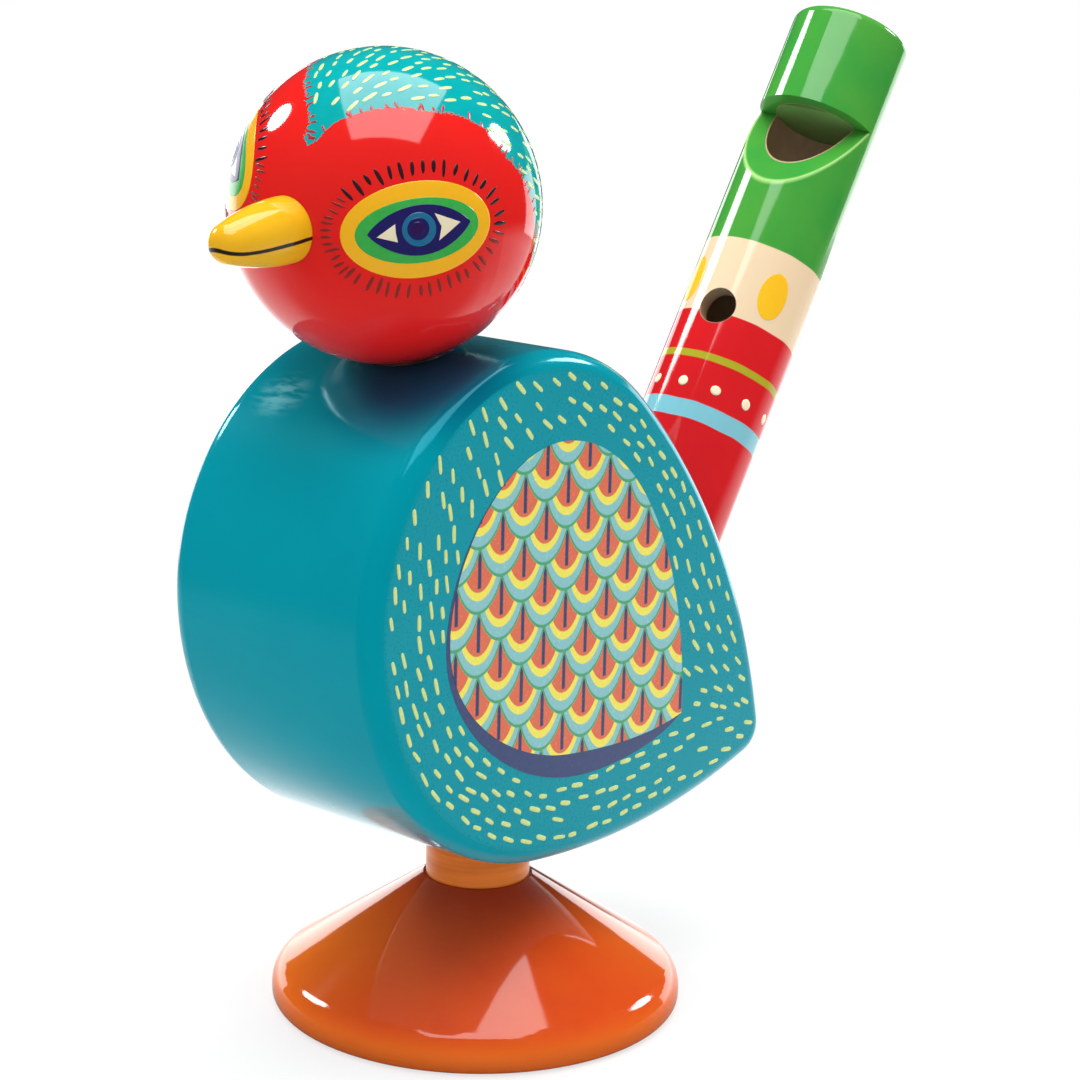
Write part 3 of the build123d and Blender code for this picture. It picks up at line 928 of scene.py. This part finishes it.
# Studio: a white table that runs on to white all round, a large soft box overhead, two long oval lamps far
# out to the left and the right behind the toy, and two white screens at the back that edge it with light.
view_round = math.radians(40.0)
view_rise = math.radians(13.53)
view_roll = math.radians(1.37)
view_far = 399.11 * mm
view_lens = 93.33
view_sensor = 36
look_right = 7.99 * mm
look_up = 69.27 * mm
view_back = Vector((math.sin(view_round) * math.cos(view_rise), -math.cos(view_round) * math.cos(view_rise),
                    math.sin(view_rise)))
view_right = Vector((math.cos(view_round), math.sin(view_round), 0))
stage_back = Vector((math.sin(view_round), -math.cos(view_round), 0))

table_half = 0.24
table_grey, table_pale_grey = (0.84, 0.84, 0.84), (0.86, 0.86, 0.86)
# by the toy this share of the table is plain white, and the rest takes the toy's shade
plain_share = 0.68
# in the toy's gloss this share of it is plain, as bright as near in front and brighter by rear behind
mirrored_share, mirrored_near, mirrored_rear = 0.85, 0.04, 1.4
table_mesh = bpy.data.meshes.new("table")
table_corners = [(x * table_half, y * table_half, 0) for x, y in ((-1, -1), (1, -1), (1, 1), (-1, 1))]
table_mesh.from_pydata(table_corners, [], [(0, 1, 2, 3)])
table_paint, place = start_paint("white_table")
haze = place.noise(0.2, 2)
seen = place.add("ShaderNodeLightPath", take="Is Camera Ray")
mirrored = place.add("ShaderNodeLightPath", take="Is Glossy Ray")
far = place.vector("LENGTH", take="Value")
away = far.past(0.10, 0.16)
table_white = place.add("ShaderNodeBsdfDiffuse", None, {"Color": haze.cover(table_grey, table_pale_grey)})
to_rear = 1 - place.along(stage_back).past(-8 * mm, 60 * mm)
glow_white = seen + mirrored * (mirrored_near + mirrored_rear * to_rear)
glow = place.add("ShaderNodeEmission", None, {"Color": glow_white, "Strength": 1.0})
shown = seen * (plain_share + (1 - plain_share) * away) + mirrored * mirrored_share
lit = place.add("ShaderNodeMixShader", None, {0: shown, 1: table_white, 2: glow})
clear = place.add("ShaderNodeBsdfTransparent")
faded = far.past(0.12, 0.18) * (seen + mirrored)
lit = place.add("ShaderNodeMixShader", None, {0: faded, 1: lit, 2: clear})
place.add("ShaderNodeOutputMaterial", None, {"Surface": lit})
table_mesh.materials.append(table_paint)
put_in_scene("table", table_mesh)

world = bpy.data.worlds.new("white_room")
bpy.context.scene.world = world
world.use_nodes = True
world.node_tree.nodes.clear()
room = Brush(world.node_tree)
seen = room.add("ShaderNodeLightPath", take="Is Camera Ray")
plain = seen.maths("MAXIMUM", room.add("ShaderNodeLightPath", take="Is Transmission Ray"))
mirrored = room.add("ShaderNodeLightPath", take="Is Glossy Ray")
# brightness of the room as a light, and as the gloss mirrors it behind the toy, below and in front
room_light = 0.67
mirrored_back = 0.05
mirrored_floor = 1.15
mirrored_front = 0.15
mirrored_glare = 0.9
way = room.add("ShaderNodeTexCoord", take="Generated")
to_back = 1 - way.along(stage_back).past(-0.10, 1.1)
straight_back = 1 - way.along(stage_back).past(-0.84, 0.28)
below = 1 - way.along((0, 0, 1)).past(-0.20, 0.16)
behind = mirrored_back + below * (mirrored_floor - mirrored_back + mirrored_glare * straight_back)
mirror_room = mirrored_front + to_back * (behind - mirrored_front)
strength = room_light + plain * (1 - room_light) + mirrored * (mirror_room - room_light)
sky = room.add("ShaderNodeBackground", None, {"Color": (1, 1, 1, 1), "Strength": strength})
room.add("ShaderNodeOutputWorld", None, {"Surface": sky})


def stand(thing, place, right, up, back):
    """Puts a lamp or the camera at that place; it looks against back."""
    thing.matrix_world = Matrix.Translation(place) @ Matrix((right, up, back)).transposed().to_4x4()


def lamp(name, shape, place, way, side, wide, high, glow):
    """A flat soft lamp that shines back along way; glow is how bright its face looks, where 1 is white."""
    light = bpy.data.lights.new(name, "AREA")
    light.shape = shape
    light.size, light.size_y = wide, high
    light.energy = glow * math.pi * wide * high * (math.pi / 4 if shape == "ELLIPSE" else 1)
    holder = put_in_scene(name, light)
    holder.visible_camera = False
    side = (side - way * side.dot(way)).normalized()
    stand(holder, place, side, way.cross(side), way)


def from_toy(turn, rise):
    """The direction that many degrees to the camera's right, from straight towards it, and up."""
    t, r = math.radians(turn), math.radians(rise)
    return (stage_back * math.cos(t) + view_right * math.sin(t)) * math.cos(r) + Vector((0, 0, math.sin(r)))


# each lamp's width, height and brightness, and how far off it is, in metres
box_wide, box_deep, box_glow = 0.40, 0.50, 4.4
box_place = ball_middle + stage_back * 0.04 + view_right * 0.02 + Vector((0, 0, 0.42))
lamp_wide, lamp_high, lamp_glow, lamp_far = 0.47, 0.33, 17, 1.5
screen_wide, screen_high, screen_glow, screen_far = 0.8, 0.38, 2.6, 1.1
screen_up = Vector((0, 0, 0.06))
lamp("soft_box", "RECTANGLE", box_place, Vector((0, 0, 1)), view_right, box_wide, box_deep, box_glow)
for tag, turn, rise in (("left", -122, 31), ("right", 123, 25.5)):
    way = from_toy(turn, rise)
    lamp(f"lamp_{tag}", "ELLIPSE", ball_middle + way * lamp_far, way, view_back,
         lamp_wide, lamp_high, lamp_glow)
for tag, turn in (("left", -150), ("right", 146)):
    way = from_toy(turn, 0)
    lamp(f"screen_{tag}", "RECTANGLE", way * screen_far + screen_up, way, view_right,
         screen_wide, screen_high, screen_glow)

camera = bpy.data.cameras.new("camera")
camera.lens = view_lens
camera.sensor_width = view_sensor
camera.clip_start = 0.01
eye_point = put_in_scene("camera", camera)
level_up = view_back.cross(view_right)
turned_right = view_right * math.cos(view_roll) + level_up * math.sin(view_roll)
turned_up = level_up * math.cos(view_roll) - view_right * math.sin(view_roll)
target = view_right * look_right + Vector((0, 0, look_up))
stand(eye_point, target + view_back * view_far, turned_right, turned_up, view_back)
bpy.context.scene.camera = eye_point
bpy.context.scene.view_settings.view_transform = "Standard"
